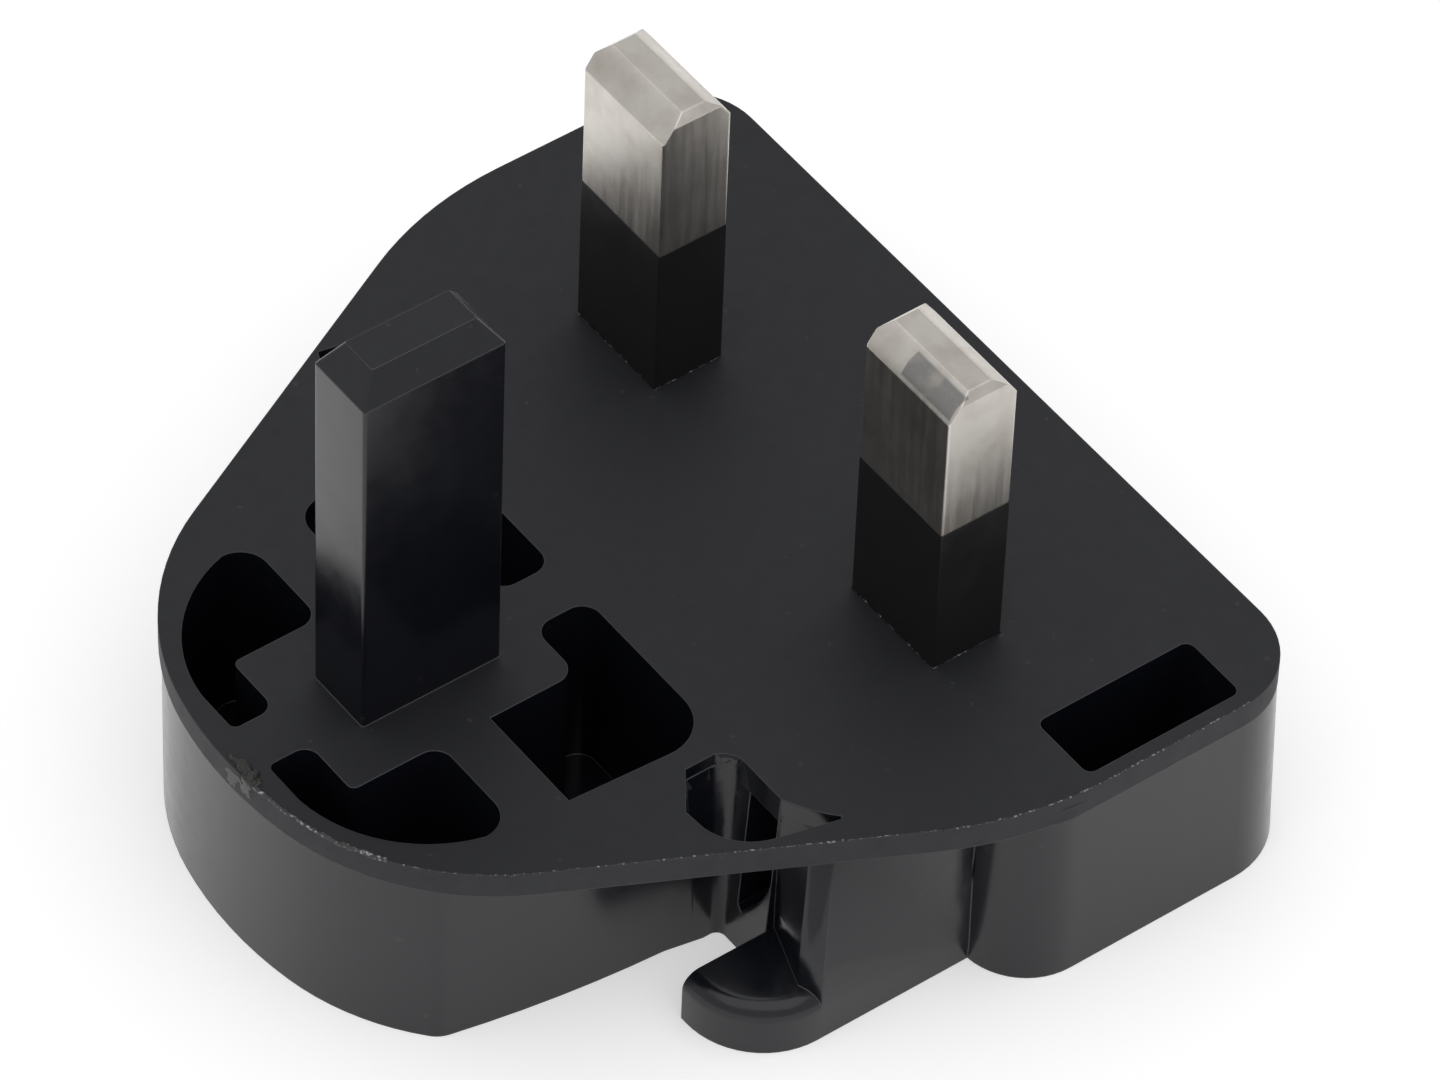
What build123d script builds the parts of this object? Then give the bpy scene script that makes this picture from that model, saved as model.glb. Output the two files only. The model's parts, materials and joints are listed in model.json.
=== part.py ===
from build123d import *
import math
import os

os.makedirs("parts", exist_ok=True)

# Frame: origin midway between the line and neutral pins on the pin face, +Z along the pins,
# +Y towards the earth pin, -X towards the line pin.

# Pins
pin_pitch = 22.22
earth_offset = 22.23
pin_width = 6.35
pin_thick = 3.97
pin_length = 17.7
pin_bevel_height = 1.23
pin_bevel_mid_height = 0.45
pin_mid_thick = 2.9
pin_tip_thick = 1.3
pin_end_bevel = 0.4
pin_edge_radius = 0.1
sleeve_length = 9.05
sleeve_wall = 0.6
sleeve_proud = 0.03
earth_width = 3.97
earth_depth = 7.92
earth_length = 22.7
earth_bevel_height = 1.5
earth_bevel_x = 0.9
earth_bevel_y = 1.05
earth_edge_radius = 0.15

# Pin face and skirt
body_depth = 12.0
face_thick = 1.5
half_width = 24.6
rear_y = -13.0
corner_radius = 4.3
shoulder_radius = 19.0
top_y = 32.6
top_radius = 22.0
crown_radius = 13.93
crown_angle = 78.8
side_angle = 27.0
skirt_inset = 0.05
rear_draft = 2.0

# Side walls behind the pin face
lobe_front_y = 4.5
lobe_corner_x = 21.3
flank_mid = (20.5, 9.4)
end_wall = (16.8, 12.8)
inner_wall_x = 12.75
filled_corner = 13.6
flank_step = 1.0
core_step = 0.05
core_draft = 3.3
core_corner_radius = 1.2
lobe_side_start = (13.05, 16.45)
lobe_side_mid = (12.45, 22.3)
lobe_rim_inset = 0.15
lobe_corner_angle = 44.9
lobe_edge_radius = 1.6
flank_overlap = (17.4, 9.8)
line_window = [(19.4, 11.2), (18.6, 14.4), (17.75, 15.95), (16.2, 16.8), (14.9, 16.9)]
line_window_rear_y = 15.35
line_core = [(18.3, 14.5), (16.2, 16.5), (14.9, 16.8)]
neutral_window = [(18.8, 12.0), (19.1, 12.95), (19.3, 13.9), (17.9, 14.5), (16.4, 15.4), (14.9, 15.9)]
neutral_window_rear_y = 15.0
neutral_core = [(18.3, 14.2), (16.4, 15.3), (14.9, 15.8)]
core_outer_x = 18.3

# Finger tabs
tab_outer_x = 21.65
tab_inner_x = 16.85
tab_front_y = 18.23
tab_rear_y = 10.8
tab_height = 3.0
tab_outer_radius = 4.45
tab_rim_radius = 0.95
foot_plan = [(20.6, 4.5), (21.65, 4.5), (21.65, 13.6), (20.4, 14.1), (16.8, 12.85), (16.85, 9.0)]
foot_crown = [(20.2, 5.0), (21.15, 5.0), (19.2, 11.3), (18.3, 12.0), (16.85, 12.8), (16.8, 9.0)]
foot_low = 1.1
foot_slope = 0.41
foot_crown_z = -1.2
recess_inner_x = 14.6
recess_outer_x = 16.75
recess_rear_y = 11.0
recess_high = (16.75, -5.9)
recess_mid = (16.1, -7.8)
recess_low = (14.9, -9.5)
recess_low_z = -9.2

# Pockets in the pin face
web_half_width = 1.4
block_half_width = 4.9
rib_low_y = 20.95
rib_high_y = 23.85
pocket_floor = 1.5
upper_top_y = 31.2
upper_top_x = 4.0
upper_side = (10.8, 25.4)
upper_side_mid = (8.95, 28.75)
upper_arm_y = 28.85
lower_side_low = 11.7
lower_side_high = 11.2
lower_arm_y = 15.95
lower_rear_y = 12.8
pocket_radius_tight = 0.4
pocket_radius_small = 0.8
pocket_radius = 1.0
pocket_radius_outer = 1.5
pocket_radius_large = 2.4
slot_size = (4.0, 9.1)
slot_inset = 2.8
slot_y = -4.45
slot_radius = 0.5
slot_floor = 2.0
lobe_core_size = (3.0, 9.1)
lobe_core_height = 9.0

# Slide seat for the adapter
seat_z = -7.0
rail_thick = 2.4
seat_half_width = 16.0
groove_half_width = 18.5
seat_front_y = 9.8
latch_width = 9.0
latch_depth = 1.3
latch_low = 1.4

# Contacts and their cover
cover_thick = 1.4
cover_half_width = 17.6
cover_rear_y = -10.8
cover_front_y = 9.2
cover_corner_radius = 1.2
recess_corner_radius = 0.8
cover_gap = 0.05
roof_z = -3.0
shoulder_size = (8.6, 6.2)
shoulder_thick = 1.8
chamber_half_width = 4.8
chamber_rear_y = -4.5
chamber_mid_y = 4.6
chamber_arm_half_width = 3.1
chamber_front_y = 8.4
core_top_z = -2.0
strip_width = 5.0
strip_thick = 0.8
strip_rear_y = -3.0
strip_front_y = 7.4
joggle_start_y = 3.0
joggle_end_y = 4.2
strip_recess = 0.2
rivet_radius = 1.2
rivet_hole_radius = 1.5
rivet_head_radius = 2.0
rivet_head_height = 0.55
rivet_pocket_radius = 2.4
rivet_pocket_depth = 0.7
window_gap = 0.4
stake_radius = 0.8
stake_hole_radius = 1.1
stake_head_radius = 1.3
stake_head_height = 0.6
stake_sink_radius = 1.6
stake_side_inset = 2.1
stake_rear_inset = 2.2
stake_front_inset = 2.2
stake_pin_offset = 5.0
stake_land = 1.9
fit_gap = 0.02

pin_x = pin_pitch / 2
back_z = -body_depth
cover_top_z = seat_z + cover_thick
strip_top_z = roof_z - shoulder_thick
groove_height = body_depth - rail_thick + seat_z
tilt = math.radians(side_angle)
crown_turn = math.radians(crown_angle)
top_centre = (0, top_y - top_radius)
crown_centre = (
    (top_radius - crown_radius) * math.cos(crown_turn),
    top_centre[1] + (top_radius - crown_radius) * math.sin(crown_turn),
)
edge_reach = crown_centre[0] * math.cos(tilt) + crown_centre[1] * math.sin(tilt) + crown_radius
shoulder_x = half_width - shoulder_radius
shoulder_y = (edge_reach - shoulder_radius - shoulder_x * math.cos(tilt)) / math.sin(tilt)
shoulder_end = (
    shoulder_x + shoulder_radius * math.cos(tilt),
    shoulder_y + shoulder_radius * math.sin(tilt),
)
diagonal_end = (
    crown_centre[0] + crown_radius * math.cos(tilt),
    crown_centre[1] + crown_radius * math.sin(tilt),
)
lobe_radius = crown_radius - lobe_rim_inset
lobe_corner = (
    crown_centre[0] + lobe_radius * math.cos(math.radians(lobe_corner_angle)),
    crown_centre[1] + lobe_radius * math.sin(math.radians(lobe_corner_angle)),
)
skirt_half_width = half_width - skirt_inset
skirt_rear_y = rear_y + skirt_inset
skirt_corner_radius = corner_radius - skirt_inset
lobe_corner_radius = skirt_half_width - lobe_corner_x
slot_x = half_width - slot_inset
sleeve_size = (pin_width + 2 * sleeve_proud, pin_thick + 2 * sleeve_proud)
neck_size = (pin_width - 2 * sleeve_wall, pin_thick - 2 * sleeve_wall)
stake_rear_x = cover_half_width - stake_side_inset
stake_rear_y = cover_rear_y + stake_rear_inset
stake_front_x = pin_x - stake_pin_offset
stake_front_y = cover_front_y - stake_front_inset
core_half_width = stake_front_x - stake_land
stake_spots = [
    (-stake_rear_x, stake_rear_y),
    (stake_rear_x, stake_rear_y),
    (-stake_front_x, stake_front_y),
    (stake_front_x, stake_front_y),
]

# Finger tab on the +X side
with BuildPart() as tab:
    with BuildSketch(Plane.XY.offset(back_z)) as tab_outline:
        with BuildLine():
            Polyline(
                (tab_inner_x, tab_rear_y),
                (tab_inner_x, tab_front_y),
                (tab_outer_x, tab_front_y),
                (tab_outer_x, tab_rear_y),
                close=True,
            )
        make_face()
        front_corners = tab_outline.vertices().group_by(Axis.Y)[-1].sort_by(Axis.X)
        fillet(front_corners[-1], radius=tab_outer_radius)
    extrude(amount=tab_height)
    rim = tab.faces().sort_by(Axis.Z)[-1].edges().sort_by(Axis.Y)[1:].sort_by(Axis.X)[1:]
    fillet(rim, radius=tab_rim_radius)

# Foot that carries the tab on the flank
foot_rear_y = foot_plan[0][1]
foot_base = make_face(Polyline([(x, y, back_z) for x, y in foot_plan], close=True))
foot_shoulder = make_face(
    Polyline(
        [(x, y, back_z + foot_low + foot_slope * (y - foot_rear_y)) for x, y in foot_plan],
        close=True,
    )
)
foot_top = make_face(Polyline([(x, y, foot_crown_z) for x, y in foot_crown], close=True))
foot = loft([foot_base, foot_shoulder, foot_top], ruled=True)

with BuildPart() as housing:
    # Pin face
    with BuildSketch(Plane.XY.offset(-face_thick)):
        with BuildLine():
            Line((0, rear_y), (half_width - corner_radius, rear_y))
            CenterArc((half_width - corner_radius, rear_y + corner_radius), corner_radius, -90, 90)
            Line((half_width, rear_y + corner_radius), (half_width, shoulder_y))
            CenterArc((shoulder_x, shoulder_y), shoulder_radius, 0, side_angle)
            Line(shoulder_end, diagonal_end)
            CenterArc(crown_centre, crown_radius, side_angle, crown_angle - side_angle)
            CenterArc(top_centre, top_radius, crown_angle, 90 - crown_angle)
            mirror(about=Plane.YZ)
        make_face()
    extrude(amount=face_thick)

    # Side windows through the pin face, the one on the line side larger
    with BuildSketch(Plane.XY.offset(-face_thick)):
        with BuildLine():
            Polyline(
                (-inner_wall_x, end_wall[1] - flank_step),
                (-flank_overlap[0], flank_overlap[1]),
                (-line_window[0][0], line_window[0][1]),
                (-line_window[1][0], line_window[1][1]),
            )
            ThreePointArc(
                (-line_window[1][0], line_window[1][1]),
                (-line_window[2][0], line_window[2][1]),
                (-line_window[3][0], line_window[3][1]),
            )
            Polyline(
                (-line_window[3][0], line_window[3][1]),
                (-line_window[4][0], line_window[4][1]),
                (-inner_wall_x, line_window_rear_y),
                (-inner_wall_x, end_wall[1] - flank_step),
            )
        make_face()
    extrude(amount=face_thick, mode=Mode.SUBTRACT)
    with BuildSketch(Plane.XY.offset(-face_thick)):
        with BuildLine():
            Polyline(
                (inner_wall_x, end_wall[1] - flank_step),
                flank_overlap,
                *neutral_window,
                (inner_wall_x, neutral_window_rear_y),
                close=True,
            )
        make_face()
    extrude(amount=face_thick, mode=Mode.SUBTRACT)

    # Skirt
    with BuildSketch(Plane.XY.offset(back_z)) as skirt:
        with BuildLine():
            Line((0, skirt_rear_y), (half_width - corner_radius, skirt_rear_y))
            CenterArc(
                (half_width - corner_radius, rear_y + corner_radius),
                skirt_corner_radius,
                -90,
                90,
            )
            Line(
                (skirt_half_width, rear_y + corner_radius),
                (skirt_half_width, lobe_front_y - lobe_corner_radius),
            )
            CenterArc((lobe_corner_x, lobe_front_y - lobe_corner_radius), lobe_corner_radius, 0, 90)
            ThreePointArc((lobe_corner_x, lobe_front_y), flank_mid, end_wall)
            Polyline(
                end_wall,
                (end_wall[0], filled_corner),
                (filled_corner, filled_corner),
                lobe_side_start,
            )
            ThreePointArc(lobe_side_start, lobe_side_mid, lobe_corner)
            CenterArc(
                crown_centre, lobe_radius, lobe_corner_angle, crown_angle - lobe_corner_angle
            )
            CenterArc(top_centre, top_radius - lobe_rim_inset, crown_angle, 90 - crown_angle)
            mirror(about=Plane.YZ)
        make_face()
        ends = [v for v in skirt.vertices() if abs(v.Y - lobe_corner[1]) < 0.01]
        fillet(ends, radius=lobe_edge_radius)
    extrude(amount=body_depth - face_thick / 2)

    # Rear lobes, drafted outwards towards the back
    with BuildSketch(Plane.XY.offset(-face_thick / 2)):
        with BuildLine():
            Line((0, skirt_rear_y), (half_width - corner_radius, skirt_rear_y))
            CenterArc(
                (half_width - corner_radius, rear_y + corner_radius),
                skirt_corner_radius,
                -90,
                90,
            )
            Line(
                (skirt_half_width, rear_y + corner_radius),
                (skirt_half_width, lobe_front_y - lobe_corner_radius),
            )
            CenterArc((lobe_corner_x, lobe_front_y - lobe_corner_radius), lobe_corner_radius, 0, 90)
            Line((lobe_corner_x, lobe_front_y), (0, lobe_front_y))
            mirror(about=Plane.YZ)
        make_face()
    extrude(amount=body_depth - face_thick / 2, dir=(0, 0, -1), taper=-rear_draft)

    # Flank under the windows
    with BuildSketch(Plane.XY.offset(-face_thick)):
        with BuildLine():
            ThreePointArc((lobe_corner_x, lobe_front_y), flank_mid, end_wall)
            Polyline(
                end_wall,
                (end_wall[0], filled_corner),
                (inner_wall_x - flank_step, filled_corner),
                (inner_wall_x - flank_step, lobe_front_y),
                (lobe_corner_x, lobe_front_y),
            )
        make_face()
        mirror(about=Plane.YZ)
    extrude(amount=face_thick)

    # Drafted cores that open the side pockets
    with BuildSketch(Plane.XY) as cores:
        with BuildLine():
            Polyline(
                (inner_wall_x, end_wall[1]),
                (core_outer_x, end_wall[1]),
                *neutral_core,
                (inner_wall_x, neutral_window_rear_y - core_step),
                close=True,
            )
        make_face()
        with BuildLine():
            Polyline(
                (-inner_wall_x, end_wall[1]),
                (-core_outer_x, end_wall[1]),
                *[(-x, y) for x, y in line_core],
                (-inner_wall_x, line_window_rear_y - core_step),
                close=True,
            )
        make_face()
        corners = cores.vertices()
        fillet(
            [
                corners.sort_by_distance((inner_wall_x, end_wall[1], 0))[0],
                corners.sort_by_distance((-inner_wall_x, end_wall[1], 0))[0],
            ],
            radius=core_corner_radius,
        )
    extrude(amount=body_depth, dir=(0, 0, -1), taper=core_draft, mode=Mode.SUBTRACT)

    # Recess in each end wall, above a curved lip
    with BuildSketch(Plane.XZ.offset(-recess_rear_y)):
        with BuildLine():
            Polyline(
                recess_low,
                (recess_inner_x, recess_low_z),
                (recess_inner_x, -face_thick),
                (recess_outer_x, -face_thick),
                recess_high,
            )
            ThreePointArc(recess_high, recess_mid, recess_low)
        make_face()
        mirror(about=Plane.YZ)
    extrude(amount=recess_rear_y - tab_front_y, mode=Mode.SUBTRACT)

    # Finger tabs and their feet
    add(tab.part)
    add(mirror(tab.part, about=Plane.YZ))
    add(foot)
    add(mirror(foot, about=Plane.YZ))

    # Earth pin
    with BuildSketch(Plane.XY.offset(-face_thick)):
        with Locations((0, earth_offset)):
            RectangleRounded(earth_width, earth_depth, earth_edge_radius)
    extrude(amount=face_thick + earth_length - earth_bevel_height)
    with BuildSketch(Plane.XY.offset(earth_length - earth_bevel_height)):
        with Locations((0, earth_offset)):
            RectangleRounded(earth_width, earth_depth, earth_edge_radius)
    with BuildSketch(Plane.XY.offset(earth_length)):
        with Locations((0, earth_offset)):
            RectangleRounded(
                earth_width - 2 * earth_bevel_x,
                earth_depth - 2 * earth_bevel_y,
                earth_edge_radius,
            )
    loft(ruled=True)

    # Pockets round the earth pin
    with BuildSketch(Plane.XY) as upper_pockets:
        with BuildLine():
            Polyline(
                (upper_top_x, upper_top_y),
                (web_half_width, upper_top_y),
                (web_half_width, upper_arm_y),
                (block_half_width, upper_arm_y),
                (block_half_width, rib_high_y),
                (upper_side[0], rib_high_y),
                upper_side,
            )
            ThreePointArc(upper_side, upper_side_mid, (upper_top_x, upper_top_y))
        make_face()
        bends = upper_pockets.vertices()
        fillet(
            bends.sort_by_distance((web_half_width, upper_arm_y, 0))[0],
            radius=pocket_radius_small,
        )
        bends = upper_pockets.vertices()
        fillet(
            [
                bends.sort_by_distance((web_half_width, upper_top_y, 0))[0],
                bends.sort_by_distance((block_half_width, upper_arm_y, 0))[0],
            ],
            radius=pocket_radius_tight,
        )
        bends = upper_pockets.vertices()
        fillet(
            bends.sort_by_distance((block_half_width, rib_high_y, 0))[0],
            radius=pocket_radius,
        )
        bends = upper_pockets.vertices()
        fillet(
            bends.sort_by_distance((upper_side[0], rib_high_y, 0))[0],
            radius=pocket_radius_outer,
        )
        mirror(about=Plane.YZ)
    extrude(amount=body_depth - pocket_floor, dir=(0, 0, -1), mode=Mode.SUBTRACT)
    with BuildSketch(Plane.XY) as lower_pockets:
        with BuildLine():
            Polyline(
                (block_half_width, rib_low_y),
                (block_half_width, lower_arm_y),
                (web_half_width, lower_arm_y),
                (web_half_width, lower_rear_y),
                (lower_side_low, lower_rear_y),
                (lower_side_high, rib_low_y),
                close=True,
            )
        make_face()
        bends = lower_pockets.vertices()
        fillet(
            [
                bends.sort_by_distance((block_half_width, lower_arm_y, 0))[0],
                bends.sort_by_distance((web_half_width, lower_arm_y, 0))[0],
                bends.sort_by_distance((web_half_width, lower_rear_y, 0))[0],
            ],
            radius=pocket_radius,
        )
        outer_corner = lower_pockets.vertices().sort_by_distance(
            (lower_side_low, lower_rear_y, 0)
        )
        fillet(outer_corner[0], radius=pocket_radius_large)
        mirror(about=Plane.YZ)
        neutral_corner = lower_pockets.vertices().sort_by_distance(
            (lower_side_high, rib_low_y, 0)
        )
        fillet(neutral_corner[0], radius=pocket_radius_outer)
    extrude(amount=body_depth - pocket_floor, dir=(0, 0, -1), mode=Mode.SUBTRACT)

    # Slot in the line side of the pin face and the blind core behind the neutral side
    with BuildSketch(Plane.XY):
        with Locations((-slot_x, slot_y)):
            RectangleRounded(slot_size[0], slot_size[1], slot_radius)
    extrude(amount=body_depth - slot_floor, dir=(0, 0, -1), mode=Mode.SUBTRACT)
    with BuildSketch(Plane.XY.offset(back_z)):
        with Locations((slot_x, slot_y)):
            RectangleRounded(lobe_core_size[0], lobe_core_size[1], slot_radius)
    extrude(amount=lobe_core_height, mode=Mode.SUBTRACT)

    # Slide seat: mouth between the rails, grooves above them, latch notch in the end wall
    with BuildSketch(Plane.XY.offset(back_z)):
        with BuildLine():
            Polyline(
                (-seat_half_width, rear_y - 1),
                (-seat_half_width, seat_front_y),
                (seat_half_width, seat_front_y),
                (seat_half_width, rear_y - 1),
                close=True,
            )
        make_face()
    extrude(amount=body_depth + seat_z, mode=Mode.SUBTRACT)
    with BuildSketch(Plane.XY.offset(back_z + rail_thick)):
        with BuildLine():
            Polyline(
                (-groove_half_width, rear_y - 1),
                (-groove_half_width, seat_front_y),
                (groove_half_width, seat_front_y),
                (groove_half_width, rear_y - 1),
                close=True,
            )
        make_face()
    extrude(amount=groove_height, mode=Mode.SUBTRACT)
    with BuildSketch(Plane.XY.offset(back_z + latch_low)):
        with Locations((0, seat_front_y)):
            Rectangle(latch_width, 2 * latch_depth)
    extrude(amount=groove_height, mode=Mode.SUBTRACT)

    # Recess for the cover, contact chambers and the blind core between them
    with BuildSketch(Plane.XY.offset(seat_z)):
        with Locations((0, (cover_rear_y + cover_front_y) / 2)):
            RectangleRounded(
                2 * (cover_half_width + cover_gap),
                cover_front_y - cover_rear_y + 2 * cover_gap,
                recess_corner_radius,
            )
    extrude(amount=cover_thick, mode=Mode.SUBTRACT)
    with BuildSketch(Plane.XY.offset(cover_top_z)):
        with Locations(
            (-pin_x, (chamber_rear_y + chamber_mid_y) / 2),
            (pin_x, (chamber_rear_y + chamber_mid_y) / 2),
        ):
            Rectangle(2 * chamber_half_width, chamber_mid_y - chamber_rear_y)
        with Locations(
            (-pin_x, chamber_front_y / 2),
            (pin_x, chamber_front_y / 2),
        ):
            Rectangle(2 * chamber_arm_half_width, chamber_front_y)
    extrude(amount=roof_z - cover_top_z, mode=Mode.SUBTRACT)
    with BuildSketch(Plane.XY.offset(cover_top_z)):
        with Locations((0, (chamber_rear_y + chamber_front_y) / 2)):
            RectangleRounded(
                2 * core_half_width, chamber_front_y - chamber_rear_y, recess_corner_radius
            )
    extrude(amount=core_top_z - cover_top_z, mode=Mode.SUBTRACT)

    # Pin holes
    with BuildSketch(Plane.XY.offset(roof_z)):
        with Locations((-pin_x, 0), (pin_x, 0)):
            Rectangle(sleeve_size[0] + 2 * fit_gap, sleeve_size[1] + 2 * fit_gap)
    extrude(amount=-roof_z, mode=Mode.SUBTRACT)

    # Heat stakes with their formed heads
    with BuildSketch(Plane.XY.offset(cover_top_z)):
        with Locations(*stake_spots):
            Circle(stake_radius)
    extrude(amount=-cover_thick)
    with BuildSketch(Plane.XY.offset(seat_z)):
        with Locations(*stake_spots):
            Circle(stake_head_radius)
    extrude(amount=stake_head_height)

# Insulating cover with a window for each contact
with BuildPart() as rear_cover:
    with BuildSketch(Plane.XY.offset(seat_z)):
        with Locations((0, (cover_rear_y + cover_front_y) / 2)):
            RectangleRounded(
                2 * cover_half_width, cover_front_y - cover_rear_y, cover_corner_radius
            )
        with Locations(
            (-pin_x, (joggle_start_y + strip_front_y) / 2),
            (pin_x, (joggle_start_y + strip_front_y) / 2),
        ):
            Rectangle(
                strip_width + 2 * window_gap,
                strip_front_y - joggle_start_y + 2 * window_gap,
                mode=Mode.SUBTRACT,
            )
        with Locations(*stake_spots):
            Circle(stake_hole_radius, mode=Mode.SUBTRACT)
    extrude(amount=cover_thick)
    with BuildSketch(Plane.XY.offset(seat_z)):
        with Locations(*stake_spots):
            Circle(stake_sink_radius)
    extrude(amount=stake_head_height, mode=Mode.SUBTRACT)
    with BuildSketch(Plane.XY.offset(cover_top_z)):
        with Locations((-pin_x, 0), (pin_x, 0)):
            Circle(rivet_pocket_radius)
    extrude(amount=-rivet_pocket_depth, mode=Mode.SUBTRACT)

# Plated pin: bevelled blade, neck under the sleeve, shoulder and riveted tail
with BuildPart() as line_pin:
    with BuildSketch(Plane.XY.offset(sleeve_length)):
        with Locations((-pin_x, 0)):
            RectangleRounded(pin_width, pin_thick, pin_edge_radius)
    extrude(amount=pin_length - sleeve_length)
    with BuildSketch(Plane.YZ.offset(-pin_x - pin_width / 2)):
        with BuildLine():
            Polyline(
                (-pin_thick / 2, sleeve_length),
                (-pin_thick / 2, pin_length - pin_bevel_height),
                (-pin_mid_thick / 2, pin_length - pin_bevel_mid_height),
                (-pin_tip_thick / 2, pin_length),
                (pin_tip_thick / 2, pin_length),
                (pin_mid_thick / 2, pin_length - pin_bevel_mid_height),
                (pin_thick / 2, pin_length - pin_bevel_height),
                (pin_thick / 2, sleeve_length),
                close=True,
            )
        make_face()
    extrude(amount=pin_width, mode=Mode.INTERSECT)
    tip_ends = line_pin.faces().sort_by(Axis.Z)[-1].edges().filter_by(Axis.Y)
    chamfer(tip_ends, length=pin_end_bevel)
    with BuildSketch(Plane.XY.offset(roof_z)):
        with Locations((-pin_x, 0)):
            Rectangle(neck_size[0], neck_size[1])
    extrude(amount=sleeve_length - roof_z)
    with BuildSketch(Plane.XY.offset(strip_top_z)):
        with Locations((-pin_x, 0)):
            Rectangle(shoulder_size[0], shoulder_size[1])
    extrude(amount=shoulder_thick)
    with BuildSketch(Plane.XY.offset(strip_top_z - strip_thick)):
        with Locations((-pin_x, 0)):
            Circle(rivet_radius)
    extrude(amount=strip_thick)
    with BuildSketch(Plane.XY.offset(strip_top_z - strip_thick)):
        with Locations((-pin_x, 0)):
            Circle(rivet_head_radius)
    extrude(amount=-rivet_head_height)

# Insulating sleeve round the neck
with BuildPart() as line_sleeve:
    with BuildSketch(Plane.XY.offset(roof_z)):
        with Locations((-pin_x, 0)):
            RectangleRounded(sleeve_size[0], sleeve_size[1], pin_edge_radius)
            Rectangle(neck_size[0], neck_size[1], mode=Mode.SUBTRACT)
    extrude(amount=sleeve_length - roof_z)

# Joggled contact strip on the pin's tail
strip_drop = strip_top_z - (seat_z + strip_recess + strip_thick)
with BuildPart() as line_contact:
    with BuildSketch(Plane.YZ.offset(-pin_x - strip_width / 2)):
        with BuildLine():
            Polyline(
                (strip_rear_y, strip_top_z),
                (joggle_start_y, strip_top_z),
                (joggle_end_y, strip_top_z - strip_drop),
                (strip_front_y, strip_top_z - strip_drop),
                (strip_front_y, strip_top_z - strip_drop - strip_thick),
                (joggle_end_y - 0.35, strip_top_z - strip_drop - strip_thick),
                (joggle_start_y - 0.35, strip_top_z - strip_thick),
                (strip_rear_y, strip_top_z - strip_thick),
                close=True,
            )
        make_face()
    extrude(amount=strip_width)
    with BuildSketch(Plane.XY.offset(strip_top_z)):
        with Locations((-pin_x, 0)):
            Circle(rivet_hole_radius)
    extrude(amount=-strip_thick, mode=Mode.SUBTRACT)

with BuildPart() as neutral_pin:
    mirror(line_pin.part, about=Plane.YZ)

with BuildPart() as neutral_sleeve:
    mirror(line_sleeve.part, about=Plane.YZ)

with BuildPart() as neutral_contact:
    mirror(line_contact.part, about=Plane.YZ)

housing.part.label = "housing"
export_step(housing.part, "parts/housing.step")
line_pin.part.label = "line_pin"
export_step(line_pin.part, "parts/line_pin.step")
neutral_pin.part.label = "neutral_pin"
export_step(neutral_pin.part, "parts/neutral_pin.step")
line_sleeve.part.label = "line_sleeve"
export_step(line_sleeve.part, "parts/line_sleeve.step")
neutral_sleeve.part.label = "neutral_sleeve"
export_step(neutral_sleeve.part, "parts/neutral_sleeve.step")
line_contact.part.label = "line_contact"
export_step(line_contact.part, "parts/line_contact.step")
neutral_contact.part.label = "neutral_contact"
export_step(neutral_contact.part, "parts/neutral_contact.step")
rear_cover.part.label = "rear_cover"
export_step(rear_cover.part, "parts/rear_cover.step")
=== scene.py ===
import bpy
import bmesh
import json
import math
from mathutils import Matrix, Vector, noise as cloudNoise
from mathutils.bvhtree import BVHTree


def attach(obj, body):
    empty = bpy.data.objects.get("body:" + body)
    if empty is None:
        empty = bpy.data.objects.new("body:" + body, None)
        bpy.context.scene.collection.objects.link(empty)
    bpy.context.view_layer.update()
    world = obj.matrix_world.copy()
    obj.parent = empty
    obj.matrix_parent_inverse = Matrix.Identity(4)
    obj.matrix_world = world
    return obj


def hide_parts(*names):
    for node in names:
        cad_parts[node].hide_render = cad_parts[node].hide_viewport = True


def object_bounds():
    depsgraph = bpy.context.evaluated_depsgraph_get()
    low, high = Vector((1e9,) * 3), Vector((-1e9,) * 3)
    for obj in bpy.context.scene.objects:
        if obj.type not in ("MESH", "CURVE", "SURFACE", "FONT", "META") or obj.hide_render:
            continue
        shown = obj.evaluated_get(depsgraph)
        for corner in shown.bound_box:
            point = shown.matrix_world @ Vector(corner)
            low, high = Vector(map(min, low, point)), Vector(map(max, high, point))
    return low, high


mm = 0.001  # the frame is in metres
edgeSamples = 6  # rays of each Bevel node

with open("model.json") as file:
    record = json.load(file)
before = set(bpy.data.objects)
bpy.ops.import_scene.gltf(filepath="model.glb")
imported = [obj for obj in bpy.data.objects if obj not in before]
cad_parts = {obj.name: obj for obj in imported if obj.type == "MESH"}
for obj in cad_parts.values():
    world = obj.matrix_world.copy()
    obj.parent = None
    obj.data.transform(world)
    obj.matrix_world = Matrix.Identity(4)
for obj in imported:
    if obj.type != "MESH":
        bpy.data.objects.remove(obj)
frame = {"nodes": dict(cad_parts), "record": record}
cadLow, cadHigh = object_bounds()
print("frame loaded:", sorted(frame["nodes"]))


# Node helpers
def addNode(tree, kind, **settings):
    node = tree.nodes.new(kind)
    for key, value in settings.items():
        setattr(node, key, value)
    return node


def newMaterial(name, kind="ShaderNodeBsdfPrincipled"):
    material = bpy.data.materials.new(name)
    material.use_nodes = True
    tree = material.node_tree
    tree.nodes.clear()
    output = addNode(tree, "ShaderNodeOutputMaterial")
    shader = addNode(tree, kind)
    tree.links.new(shader.outputs[0], output.inputs["Surface"])
    return material, tree, shader


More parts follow.
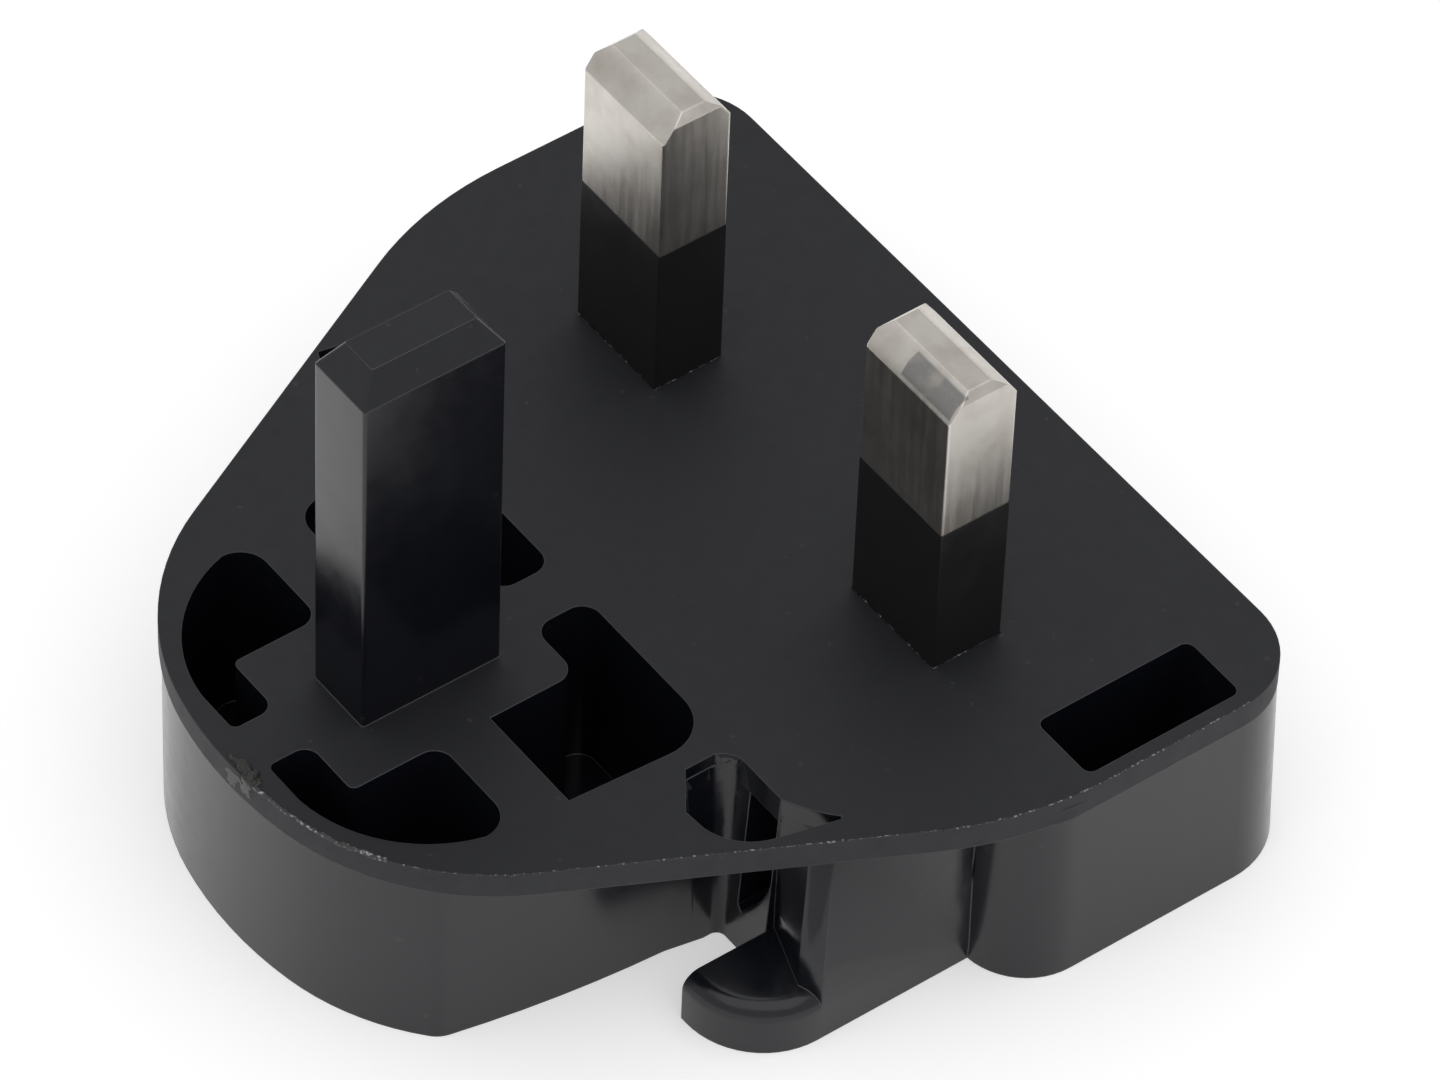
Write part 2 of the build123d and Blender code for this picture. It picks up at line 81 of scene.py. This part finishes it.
def noise(tree, scale, detail=3.0, roughness=0.55, stretch=(1, 1, 1)):
    # noise on Object coordinates, scale in lumps per metre
    coords = addNode(tree, "ShaderNodeTexCoord")
    mapping = addNode(tree, "ShaderNodeMapping")
    mapping.inputs["Scale"].default_value = stretch
    texture = addNode(tree, "ShaderNodeTexNoise")
    texture.inputs["Scale"].default_value = scale
    texture.inputs["Detail"].default_value = detail
    texture.inputs["Roughness"].default_value = roughness
    tree.links.new(coords.outputs["Object"], mapping.inputs["Vector"])
    tree.links.new(mapping.outputs["Vector"], texture.inputs["Vector"])
    return texture.outputs["Fac"]


def remap(tree, value, low, high, toLow, toHigh, smooth=False):
    node = addNode(tree, "ShaderNodeMapRange")
    if smooth:
        node.interpolation_type = "SMOOTHSTEP"
    ends = ("From Min", "From Max", "To Min", "To Max")
    for name, number in zip(ends, (low, high, toLow, toHigh)):
        node.inputs[name].default_value = number
    tree.links.new(value, node.inputs["Value"])
    return node.outputs["Result"]


def spread(tree, texture, toLow=0, toHigh=1, smooth=False):
    # noise whose levels in "between" become toLow to toHigh
    shape = {key: value for key, value in texture.items() if key != "between"}
    return remap(tree, noise(tree, **shape), *texture["between"], toLow, toHigh, smooth)


def mixColour(tree, factor, first, second):
    node = addNode(tree, "ShaderNodeMix", data_type="RGBA")
    if isinstance(first, tuple):
        node.inputs["A"].default_value = (*first, 1)
    else:
        tree.links.new(first, node.inputs["A"])
    node.inputs["B"].default_value = (*second, 1)
    tree.links.new(factor, node.inputs["Factor"])
    return node.outputs["Result"]


def calculate(tree, operation, first, second):
    node = addNode(tree, "ShaderNodeMath", operation=operation)
    for socket, value in zip(node.inputs, (first, second)):
        if isinstance(value, (int, float)):
            socket.default_value = value
        else:
            tree.links.new(value, socket)
    return node.outputs["Value"]


def axisAt(tree, axis):
    coords = addNode(tree, "ShaderNodeTexCoord")
    split = addNode(tree, "ShaderNodeSeparateXYZ")
    tree.links.new(coords.outputs["Object"], split.inputs["Vector"])
    return split.outputs[axis]


def roundedNormal(tree, radius):
    rounded = addNode(tree, "ShaderNodeBevel", samples=edgeSamples)
    rounded.inputs["Radius"].default_value = radius
    return rounded.outputs["Normal"]


def edgeHighlightMask(tree, radius, low, high):
    # 1 on a sharp edge, 0 on a plain face, the mask of the painted edge highlight
    plain = addNode(tree, "ShaderNodeNewGeometry")
    both = addNode(tree, "ShaderNodeVectorMath", operation="DOT_PRODUCT")
    tree.links.new(roundedNormal(tree, radius), both.inputs[0])
    tree.links.new(plain.outputs["Normal"], both.inputs[1])
    return remap(tree, both.outputs["Value"], 1 - low, 1 - high, 0, 1)


def bump(tree, shader, height, settings, rounding=0.0):
    node = addNode(tree, "ShaderNodeBump")
    for name, number in zip(("Strength", "Distance"), settings["bump"]):
        node.inputs[name].default_value = number
    tree.links.new(height, node.inputs["Height"])
    if rounding:
        tree.links.new(roundedNormal(tree, rounding), node.inputs["Normal"])
    tree.links.new(node.outputs["Normal"], shader.inputs["Normal"])


# Materials: each noise by its own values, "bump" is strength and height
moulding = {
    "colour": (0.0052, 0.0058, 0.009),
    "paler": (0.0064, 0.007, 0.0104),
    "clouds": {"scale": 160.0, "detail": 4.0, "between": (0.35, 0.65)},
    "speck": (0.02, 0.02, 0.022),
    "specks": {"scale": 1900.0, "detail": 0.0, "between": (0.815, 0.85)},
    # painted highlight: a lighter colour on convex and concave edges stands in for edge glints
    "edgeHighlight": (0.085, 0.085, 0.09),
    "edgeHighlightRadius": 0.08 * mm,
    "edgeHighlightFrom": 0.015,
    "edgeHighlightFull": 0.16,
    "specular": 0.5,
    "matteLow": (-1.52 * mm, -1.48 * mm),  # begins at the underside of the face plate
    "matteHigh": (0.03 * mm, 0.1 * mm),  # and ends over its face
    "faceRoughness": 0.6,
    "wallRoughness": 0.2,
    "mottle": {"scale": 900.0, "detail": 3.0, "between": (0.3, 0.7)},
    "mottleBy": (-0.03, 0.04),
    "grain": {"scale": 5200.0, "detail": 2.0, "roughness": 0.6},
    "faceGrain": 0.45,
    "wallGrain": 0.04,
    "flow": {"scale": 380.0, "detail": 2.0, "roughness": 0.5, "stretch": (1, 1, 0.1)},
    "flowHeight": 1.2,
    "bump": (0.4, 0.03 * mm),
    "edge": 0.12 * mm,
}


def mouldedPlastic(name, settings):
    material, tree, shader = newMaterial(name)
    clouds = spread(tree, settings["clouds"])
    colour = mixColour(tree, clouds, settings["colour"], settings["paler"])
    colour = mixColour(tree, spread(tree, settings["specks"]), colour, settings["speck"])
    # painted highlight, a lighter colour along every edge that the Bevel node rounds
    edgeHighlight = edgeHighlightMask(tree, settings["edgeHighlightRadius"], settings["edgeHighlightFrom"], settings["edgeHighlightFull"])
    colour = mixColour(tree, edgeHighlight, colour, settings["edgeHighlight"])
    tree.links.new(colour, shader.inputs["Base Color"])
    shader.inputs["Specular IOR Level"].default_value = settings["specular"]
    # matte on the face plate and its rim, glossy on the other walls
    z = axisAt(tree, "Z")
    onPlate = calculate(
        tree,
        "MULTIPLY",
        remap(tree, z, *settings["matteLow"], 0, 1),
        remap(tree, z, *settings["matteHigh"], 1, 0),
    )
    outer = addNode(tree, "ShaderNodeAttribute", attribute_name="outer").outputs["Fac"]
    matte = calculate(tree, "MULTIPLY", outer, onPlate)
    mottle = spread(tree, settings["mottle"], *settings["mottleBy"])
    level = remap(tree, matte, 0, 1, settings["wallRoughness"], settings["faceRoughness"])
    tree.links.new(calculate(tree, "ADD", level, mottle), shader.inputs["Roughness"])
    depth = remap(tree, matte, 0, 1, settings["wallGrain"], settings["faceGrain"])
    fine = calculate(tree, "MULTIPLY", noise(tree, **settings["grain"]), depth)
    wavy = calculate(tree, "MULTIPLY", noise(tree, **settings["flow"]), settings["flowHeight"])
    bump(tree, shader, calculate(tree, "ADD", fine, wavy), settings, settings["edge"])
    return material


torn = {
    "colour": (0.012, 0.012, 0.013),
    "stressed": (0.3, 0.3, 0.31),
    "patches": {"scale": 5200.0, "detail": 4.0, "roughness": 0.6, "between": (0.5, 0.66)},
    "pits": {"scale": 8320.0},
    "roughness": 0.42,
    "bump": (0.5, 0.02 * mm),
}


def tornPlastic(name, settings):
    # flash and gate remnants, whitened where the plastic tore
    material, tree, shader = newMaterial(name)
    patches = spread(tree, settings["patches"], smooth=True)
    colour = mixColour(tree, patches, settings["colour"], settings["stressed"])
    tree.links.new(colour, shader.inputs["Base Color"])
    shader.inputs["Roughness"].default_value = settings["roughness"]
    bump(tree, shader, noise(tree, **settings["pits"]), settings)
    return material


sleeving = {
    "colour": (0.0085, 0.0085, 0.0095),
    "specular": 0.5,
    "mottle": {"scale": 500.0, "detail": 2.0, "between": (0.3, 0.7)},
    "roughness": (0.28, 0.37),
    "waves": {"scale": 500.0, "detail": 1.0},
    "bump": (0.2, 0.01 * mm),
}


def sleevePlastic(name, settings):
    material, tree, shader = newMaterial(name)
    shader.inputs["Base Color"].default_value = (*settings["colour"], 1)
    shader.inputs["Specular IOR Level"].default_value = settings["specular"]
    mottle = spread(tree, settings["mottle"], *settings["roughness"])
    tree.links.new(mottle, shader.inputs["Roughness"])
    bump(tree, shader, noise(tree, **settings["waves"]), settings)
    return material


plating = {
    "colour": (0.68, 0.645, 0.60),
    "stain": (0.55, 0.51, 0.455),
    "stains": {"scale": 420.0, "detail": 5.0, "roughness": 0.62, "between": (0.42, 0.72)},
    "patchGrey": (0.3, 0.29, 0.28),
    # mm, a box on the line pin's tip bevel that is coloured a darker grey
    "greyPatch": [("X", -14.15, -10.4), ("Y", 0.75, 1.9), ("Z", 16.5, 17.6)],
    "greyPatchFade": 0.06,
    "greyPatchBy": (0.6, 1),
    "patchNoise": {"scale": 700.0, "detail": 4.0, "roughness": 0.6, "between": (0.3, 0.5)},
    "roughness": (0.28, 0.35),
    "scratches": {"scale": 2600.0, "detail": 3.0, "roughness": 0.6, "stretch": (1, 1, 0.06)},
    "scratchesBetween": (0.35, 0.7),
    "scratchHeight": 0.25,
    "waves": {"scale": 330.0, "detail": 2.0, "roughness": 0.5},
    "waveHeight": 1.5,
    "bump": (0.16, 0.02 * mm),
    "edge": 0.12 * mm,
}


def greyPatchMask(tree, settings):
    # a darker grey patch inside a box on the line pin's tip bevel, broken up by noise
    fade, patch = settings["greyPatchFade"], None
    for axis, low, high in settings["greyPatch"]:
        place = axisAt(tree, axis)
        inside = calculate(
            tree,
            "MULTIPLY",
            remap(tree, place, low * mm, (low + fade) * mm, 0, 1),
            remap(tree, place, (high - fade) * mm, high * mm, 1, 0),
        )
        patch = inside if patch is None else calculate(tree, "MULTIPLY", patch, inside)
    patchNoise = spread(tree, settings["patchNoise"], *settings["greyPatchBy"])
    return calculate(tree, "MULTIPLY", patch, patchNoise)


def nickelPlate(name, settings):
    material, tree, shader = newMaterial(name)
    shader.inputs["Metallic"].default_value = 1.0
    stains = spread(tree, settings["stains"])
    colour = mixColour(tree, stains, settings["colour"], settings["stain"])
    colour = mixColour(tree, greyPatchMask(tree, settings), colour, settings["patchGrey"])
    tree.links.new(colour, shader.inputs["Base Color"])
    scratches = noise(tree, **settings["scratches"])
    streaks = remap(tree, scratches, *settings["scratchesBetween"], *settings["roughness"])
    tree.links.new(streaks, shader.inputs["Roughness"])
    waves = noise(tree, **settings["waves"])
    height = calculate(
        tree,
        "ADD",
        calculate(tree, "MULTIPLY", waves, settings["waveHeight"]),
        calculate(tree, "MULTIPLY", scratches, settings["scratchHeight"]),
    )
    bump(tree, shader, height, settings, settings["edge"])
    return material


coverMoulding = {**moulding, "colour": (0.0075, 0.0078, 0.0098), "wallRoughness": 0.42}
finishes = {
    "moulding": mouldedPlastic("mouldedBlack", moulding),
    "cover": mouldedPlastic("coverBlack", coverMoulding),
    "sleeve": sleevePlastic("sleeveBlack", sleeving),
    "pin_plating": nickelPlate("nickelPlate", plating),
    "contact_strip": nickelPlate("stripPlate", {**plating, "roughness": (0.33, 0.4)}),
}
print("finishes made:", len(finishes))


# CAD nodes, merged and shaded smooth between their sharp edges
shading = {
    "mergeWithin": 0.002 * mm,
    "sharpFrom": math.radians(28),
    "wallTilt": 0.3,  # a wall's normal has less z than this
    "faceTilt": 0.5,  # the pin face's normal has more z than this
    "faceWithin": 0.05 * mm,
    "rayStart": 0.01 * mm,
}


def markOuter(mesh, settings):
    # 1 on the plate's face and on outer walls, 0 on the walls of openings
    layer = mesh.attributes.new("outer", "FLOAT", "FACE")
    places = [vertex.co for vertex in mesh.vertices]
    tree = BVHTree.FromPolygons(places, [face.vertices for face in mesh.polygons])
    for face in mesh.polygons:
        centre, normal = face.center, face.normal
        if abs(normal.z) < settings["wallTilt"]:
            outer = tree.ray_cast(centre + normal * settings["rayStart"], normal)[0] is None
        else:
            outer = normal.z > settings["faceTilt"] and abs(centre.z) < settings["faceWithin"]
        layer.data[face.index].value = 1.0 if outer else 0.0


slots = {part["node"]: part["material_slot"] for part in frame["record"]["subparts"]}


def addPiece(name, mesh, node):
    piece = bpy.data.objects.new(name, mesh)
    bpy.context.collection.objects.link(piece)
    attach(piece, "root")
    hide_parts(node)


def makeSkin(node, settings):
    mesh = frame["nodes"][node].data.copy()
    mesh.name = node + "_skin"
    work = bmesh.new()
    work.from_mesh(mesh)
    bmesh.ops.remove_doubles(work, verts=work.verts, dist=settings["mergeWithin"])
    for edge in work.edges:
        shared = len(edge.link_faces) == 2
        edge.smooth = shared and edge.calc_face_angle(0) < settings["sharpFrom"]
    for face in work.faces:
        face.smooth = True
    work.to_mesh(mesh)
    work.free()
    if "custom_normal" in mesh.attributes:
        mesh.attributes.remove(mesh.attributes["custom_normal"])
    if node == "housing":
        markOuter(mesh, settings)
    mesh.materials.clear()
    mesh.materials.append(finishes[slots[node]])
    addPiece(node + "_skin", mesh, node)


for node in sorted(frame["nodes"]):
    makeSkin(node, shading)
print("pieces skinned:", len(slots))


# Mould flash along the plate's edge and at the feet of the sleeves
beadForm = {
    "sides": 6,
    "lumpsFull": 0.72,  # noise level at which a bead or a chip has its full size
    "wobbleLumps": 2.3,
    "chipLumps": 1.7,
    "turn": 6.28,
}


def makeBurrGroup(form):
    # a curve becomes a thin ragged bead with small chips along it
    tree = bpy.data.node_groups.new("edgeBurr", "GeometryNodeTree")
    numbers = ("Step", "Radius", "Wobble", "Lumps", "Cut", "Chip Size", "Chip Cut")
    kinds = {"Geometry": "Geometry", **dict.fromkeys(numbers, "Float")}
    kinds.update({"Seed": "Int", "Material": "Material"})
    for name, kind in kinds.items():
        tree.interface.new_socket(name, in_out="INPUT", socket_type="NodeSocket" + kind)
    tree.interface.new_socket("Geometry", in_out="OUTPUT", socket_type="NodeSocketGeometry")
    start = addNode(tree, "NodeGroupInput").outputs
    finish = addNode(tree, "NodeGroupOutput")
    wire = tree.links.new

    def lumpsAt(scaleBy):
        place = addNode(tree, "GeometryNodeInputPosition")
        lumps = addNode(tree, "ShaderNodeTexNoise", noise_dimensions="4D")
        wire(place.outputs[0], lumps.inputs["Vector"])
        wire(calculate(tree, "MULTIPLY", start["Lumps"], scaleBy), lumps.inputs["Scale"])
        wire(start["Seed"], lumps.inputs["W"])
        return lumps

    def sizeAt(scaleBy, cut):
        ramp = addNode(tree, "ShaderNodeMapRange")
        ramp.inputs["From Max"].default_value = form["lumpsFull"]
        wire(lumpsAt(scaleBy).outputs[0], ramp.inputs["Value"])
        wire(cut, ramp.inputs["From Min"])
        return ramp.outputs["Result"]

    # the path, resampled and made uneven
    resample = addNode(tree, "GeometryNodeResampleCurve", mode="LENGTH")
    wire(start["Geometry"], resample.inputs["Curve"])
    wire(start["Step"], resample.inputs["Length"])
    centred = addNode(tree, "ShaderNodeVectorMath", operation="SUBTRACT")
    wire(lumpsAt(form["wobbleLumps"]).outputs["Color"], centred.inputs[0])
    centred.inputs[1].default_value = (0.5, 0.5, 0.5)  # the middle of the noise
    shift = addNode(tree, "ShaderNodeVectorMath", operation="SCALE")
    wire(centred.outputs[0], shift.inputs[0])
    wire(start["Wobble"], shift.inputs["Scale"])
    moved = addNode(tree, "GeometryNodeSetPosition")
    wire(resample.outputs[0], moved.inputs["Geometry"])
    wire(shift.outputs[0], moved.inputs["Offset"])

    # the bead, as wide as the noise says
    ring = addNode(tree, "GeometryNodeCurvePrimitiveCircle")
    ring.inputs["Resolution"].default_value = form["sides"]
    ring.inputs["Radius"].default_value = 1.0
    bead = addNode(tree, "GeometryNodeCurveToMesh")
    bead.inputs["Fill Caps"].default_value = True
    wire(moved.outputs[0], bead.inputs["Curve"])
    wire(ring.outputs[0], bead.inputs["Profile Curve"])
    width = calculate(tree, "MULTIPLY", start["Radius"], sizeAt(1.0, start["Cut"]))
    wire(width, bead.inputs["Scale"])

    # the chips, turned and sized at random
    points = addNode(tree, "GeometryNodeCurveToPoints", mode="EVALUATED")
    wire(moved.outputs[0], points.inputs["Curve"])
    chip = addNode(tree, "GeometryNodeMeshIcoSphere")
    chip.inputs["Radius"].default_value = 1.0
    chip.inputs["Subdivisions"].default_value = 1
    share = addNode(tree, "FunctionNodeRandomValue", data_type="FLOAT")
    wire(start["Seed"], share.inputs["Seed"])
    chipCut = sizeAt(form["chipLumps"], start["Chip Cut"])
    sized = calculate(tree, "MULTIPLY", share.outputs[1], chipCut)
    turn = addNode(tree, "FunctionNodeRandomValue", data_type="FLOAT_VECTOR")
    turn.inputs["Max"].default_value = (form["turn"],) * 3
    wire(start["Seed"], turn.inputs["Seed"])
    chips = addNode(tree, "GeometryNodeInstanceOnPoints")
    wire(points.outputs["Points"], chips.inputs["Points"])
    wire(chip.outputs["Mesh"], chips.inputs["Instance"])
    wire(turn.outputs[0], chips.inputs["Rotation"])
    wire(calculate(tree, "MULTIPLY", sized, start["Chip Size"]), chips.inputs["Scale"])

    joined = addNode(tree, "GeometryNodeJoinGeometry")
    wire(bead.outputs[0], joined.inputs[0])
    wire(chips.outputs[0], joined.inputs[0])
    real = addNode(tree, "GeometryNodeRealizeInstances")
    wire(joined.outputs[0], real.inputs[0])
    painted = addNode(tree, "GeometryNodeSetMaterial")
    wire(real.outputs[0], painted.inputs["Geometry"])
    wire(start["Material"], painted.inputs["Material"])
    wire(painted.outputs[0], finish.inputs[0])
    return tree


def makeBurr(name, path, closed, inputs, material, node, group):
    curve = bpy.data.curves.new(name + "_path", "CURVE")
    curve.dimensions = "3D"
    spline = curve.splines.new("POLY")
    spline.points.add(len(path) - 1)
    for point, place in zip(spline.points, path):
        point.co = (*place, 1)
    spline.use_cyclic_u = closed
    holder = bpy.data.objects.new(name + "_path", curve)
    bpy.context.collection.objects.link(holder)
    modifier = holder.modifiers.new("burr", "NODES")
    modifier.node_group = group
    items = [item for item in group.interface.items_tree if item.in_out == "INPUT"]
    sockets = {item.name: item.identifier for item in items}
    for key, value in {**inputs, "Material": material}.items():
        modifier[sockets[key]] = value
    bpy.context.view_layer.update()
    evaluated = holder.evaluated_get(bpy.context.evaluated_depsgraph_get())
    mesh = bpy.data.meshes.new_from_object(evaluated)
    mesh.name = name
    work = bmesh.new()
    work.from_mesh(mesh)
    for vertex in work.verts:  # nothing leaves the CAD box
        for axis in range(3):
            vertex.co[axis] = min(max(vertex.co[axis], cadLow[axis]), cadHigh[axis])
    bmesh.ops.dissolve_degenerate(work, dist=0.0002 * mm, edges=work.edges)
    bmesh.ops.recalc_face_normals(work, faces=work.faces)
    work.to_mesh(mesh)
    work.free()
    holder.modifiers.clear()
    bpy.data.objects.remove(holder)
    addPiece(name, mesh, node)


plate = {  # the pin face's outline, mm and degrees
    "topY": 32.6,
    "topRadius": 22.0,
    "crownRadius": 13.93,
    "crownAngle": 78.8,
    "sideAngle": 27.0,
    "halfWidth": 24.6,
    "shoulderRadius": 19.0,
    "rearY": -13.0,
    "cornerRadius": 4.3,
    "step": 1.0,
}


def plateEdge(settings, inset):
    # right half of the pin face's outline, apex first, in metres
    topY, topRadius = settings["topY"], settings["topRadius"]
    crownRadius, crownAngle = settings["crownRadius"], settings["crownAngle"]
    shoulderRadius, sideAngle = settings["shoulderRadius"], settings["sideAngle"]
    halfWidth, cornerRadius = settings["halfWidth"], settings["cornerRadius"]
    tilt, turn = math.radians(sideAngle), math.radians(crownAngle)
    reach = topRadius - crownRadius
    crown = (reach * math.cos(turn), topY - topRadius + reach * math.sin(turn))
    along = crown[0] * math.cos(tilt) + crown[1] * math.sin(tilt) + crownRadius
    shoulderX = halfWidth - shoulderRadius
    shoulderY = (along - shoulderRadius - shoulderX * math.cos(tilt)) / math.sin(tilt)
    corner = (halfWidth - cornerRadius, settings["rearY"] + cornerRadius)
    arcs = [
        # centre, radius, first and last angle
        ((0, topY - topRadius), topRadius, 90, crownAngle),
        (crown, crownRadius, crownAngle, sideAngle),
        ((shoulderX, shoulderY), shoulderRadius, sideAngle, 0),
        (corner, cornerRadius, 0, -90),
    ]
    path = []
    for centre, radius, first, last in arcs:
        count = max(2, round((first - last) / settings["step"]))
        for step in range(count + 1):
            angle = math.radians(first + (last - first) * step / count)
            x = centre[0] + (radius - inset) * math.cos(angle)
            y = centre[1] + (radius - inset) * math.sin(angle)
            path.append((x * mm, y * mm, 0.0))
    return path


# "x" and "y" limit each stretch of the plate's edge in mm, x from the middle to the line side
burrs = {
    "flashFront": {
        "x": (1.9, 9.4),
        "y": (24.0, 40.0),
        "inset": 0.06,
        "inputs": {
            "Step": 0.07 * mm, "Radius": 0.15 * mm, "Wobble": 0.22 * mm, "Lumps": 1300.0,
            "Cut": 0.02, "Chip Size": 0.14 * mm, "Chip Cut": 0.3, "Seed": 3,
        },
    },
    "flashDiagonal": {
        "x": (9.0, 24.7),
        "y": (8.0, 31.0),
        "inset": 0.03,
        "inputs": {
            "Step": 0.09 * mm, "Radius": 0.06 * mm, "Wobble": 0.12 * mm, "Lumps": 1900.0,
            "Cut": 0.36, "Chip Size": 0.12 * mm, "Chip Cut": 0.42, "Seed": 8,
        },
    },
    "flashShoulder": {
        "x": (20.0, 24.7),
        "y": (-9.0, 8.0),
        "inset": 0.03,
        "inputs": {
            "Step": 0.08 * mm, "Radius": 0.08 * mm, "Wobble": 0.12 * mm, "Lumps": 1700.0,
            "Cut": 0.24, "Chip Size": 0.13 * mm, "Chip Cut": 0.4, "Seed": 5,
        },
    },
}
brighter = {"colour": (0.03, 0.03, 0.032), "stressed": (0.36, 0.36, 0.37)}
burrGroup = makeBurrGroup(beadForm)
tornBlack = tornPlastic("tornBlack", torn)
flashGrey = tornPlastic("flashGrey", {**torn, **brighter})
for name, setting in burrs.items():
    (nearX, farX), (lowY, highY) = setting["x"], setting["y"]
    path = [
        (-x, y, z)
        for x, y, z in plateEdge(plate, setting["inset"])
        if nearX * mm <= x <= farX * mm and lowY * mm <= y <= highY * mm
    ]
    look = flashGrey if name == "flashFront" else tornBlack
    makeBurr(name, path, False, setting["inputs"], look, "housing", burrGroup)

sleeveBase = {
    "half": (3.2, 2.0),  # mm
    "places": {"line_sleeve": -11.11, "neutral_sleeve": 11.11},
    "inputs": {
        "Step": 0.1 * mm, "Radius": 0.07 * mm, "Wobble": 0.08 * mm, "Lumps": 1500.0,
        "Cut": 0.42, "Chip Size": 0.08 * mm, "Chip Cut": 0.5, "Seed": 2,
    },
}
for node, x in sleeveBase["places"].items():
    wide, deep = sleeveBase["half"]
    corners = [(-1, -1), (1, -1), (1, 1), (-1, 1)]
    path = [((x + a * wide) * mm, b * deep * mm, 0.0) for a, b in corners]
    makeBurr(node + "_flash", path, True, sleeveBase["inputs"], tornBlack, node, burrGroup)
print("flash made:", len(burrs) + len(sleeveBase["places"]))


# Torn gate remnant on the plate's edge at its apex, mm and degrees
gate = {
    "centre": (-0.7, 32.2, -0.65),
    "size": (3.3, 0.9, 1.75),
    "tilt": 10.0,
    "fineness": 5,
    "lumps": 1.32,
    "depth": 0.34,
    "octaves": (0.8, 2.1, 4),  # falloff, step and number
    "look": {
        "colour": (0.014, 0.0125, 0.0115),
        "stressed": (0.045, 0.042, 0.04),
        "patches": {**torn["patches"], "scale": 1800.0},
        "pits": {"scale": 2880.0},
    },
}


def makeGate(settings):
    mesh = bpy.data.meshes.new("gateRemnant")
    work = bmesh.new()
    bmesh.ops.create_icosphere(work, subdivisions=settings["fineness"], radius=0.5)
    tilt = Matrix.Rotation(math.radians(settings["tilt"]), 3, "Y")
    for vertex in work.verts:
        way = vertex.co.normalized()
        place = Vector([a * b for a, b in zip(vertex.co, settings["size"])])
        rough = cloudNoise.fractal(place * settings["lumps"], *settings["octaves"])
        place += way * settings["depth"] * rough
        place = tilt @ place + Vector(settings["centre"])
        place.y = min(place.y, plate["topY"])
        vertex.co = place * mm
    for face in work.faces:
        face.smooth = True
    work.to_mesh(mesh)
    work.free()
    mesh.materials.append(tornPlastic("gateBlack", {**torn, **settings["look"]}))
    addPiece("gateRemnant", mesh, "housing")


makeGate(gate)
print("gate remnant made")


# Floor and light, metres and watts
studio = {
    "floorSize": 6,
    "floorGap": 0.02 * mm,
    "floorColour": (0.78, 0.78, 0.78),
    "floorLift": 0.42,
    "sky": 0.62,
    "lampPlace": (-0.12, 0.1, 0.8),
    "lampSize": 1.2,
    "lampPower": 2.6,
}


def makeFloor(settings):
    # camera, mirror and glass rays see the lifted white, other rays the plain surface
    bpy.ops.mesh.primitive_plane_add(
        size=settings["floorSize"], location=(0, 0, cadLow.z - settings["floorGap"])
    )
    floor = bpy.context.object
    floor.name = "floor"
    material, tree, both = newMaterial("paleFloor", "ShaderNodeAddShader")
    matt = addNode(tree, "ShaderNodeBsdfDiffuse")
    matt.inputs["Color"].default_value = (*settings["floorColour"], 1)
    glow = addNode(tree, "ShaderNodeEmission")
    rays = addNode(tree, "ShaderNodeLightPath").outputs
    seen = calculate(tree, "MAXIMUM", rays["Is Camera Ray"], rays["Is Glossy Ray"])
    seen = calculate(tree, "MAXIMUM", seen, rays["Is Transmission Ray"])
    lift = calculate(tree, "MULTIPLY", seen, settings["floorLift"])
    tree.links.new(lift, glow.inputs["Strength"])
    tree.links.new(matt.outputs[0], both.inputs[0])
    tree.links.new(glow.outputs[0], both.inputs[1])
    floor.data.materials.append(material)


def makeSky(settings):
    # a grey sky lights the part, and the camera sees white
    world = bpy.data.worlds.new("studioSky")
    bpy.context.scene.world = world
    world.use_nodes = True
    tree = world.node_tree
    tree.nodes.clear()
    output = addNode(tree, "ShaderNodeOutputWorld")
    path = addNode(tree, "ShaderNodeLightPath")
    mix = addNode(tree, "ShaderNodeMixShader")
    tree.links.new(path.outputs["Is Camera Ray"], mix.inputs[0])
    for socket, strength in zip(mix.inputs[1:], (settings["sky"], 1.0)):
        light = addNode(tree, "ShaderNodeBackground")
        light.inputs["Color"].default_value = (1, 1, 1, 1)
        light.inputs["Strength"].default_value = strength
        tree.links.new(light.outputs[0], socket)
    tree.links.new(mix.outputs[0], output.inputs["Surface"])


def makeLamp(settings):
    data = bpy.data.lights.new("overhead", "AREA")
    data.size = settings["lampSize"]
    data.energy = settings["lampPower"]
    lamp = bpy.data.objects.new("overhead", data)
    bpy.context.collection.objects.link(lamp)
    lamp.location = settings["lampPlace"]
    lamp.rotation_mode = "QUATERNION"
    lamp.rotation_quaternion = (-Vector(settings["lampPlace"])).to_track_quat("-Z", "Y")


makeFloor(studio)
makeSky(studio)
makeLamp(studio)
bpy.context.scene.view_settings.view_transform = "Standard"


# Camera, solved from the pins' corners, mm and degrees
lens = {
    "place": (-257.11, 206.64, 347.83),
    "target": (-1.889, 5.324, 0.0),
    "roll": 2.477,
    "focal": 249.64,
    "sensor": 36.0,
    "clip": (0.01, 20),  # metres
}


def makeCamera(settings):
    data = bpy.data.cameras.new("camera")
    data.lens = settings["focal"]
    data.sensor_width = settings["sensor"]
    data.clip_start, data.clip_end = settings["clip"]
    camera = bpy.data.objects.new("camera", data)
    bpy.context.collection.objects.link(camera)
    place, target = Vector(settings["place"]) * mm, Vector(settings["target"]) * mm
    back = (place - target).normalized()
    right = Vector((0, 0, 1)).cross(back).normalized()
    level = Matrix((right, back.cross(right), back)).transposed()
    turn = level @ Matrix.Rotation(math.radians(settings["roll"]), 3, "Z")
    camera.matrix_world = Matrix.Translation(place) @ turn.to_4x4()
    bpy.context.scene.camera = camera


makeCamera(lens)
print("studio ready")
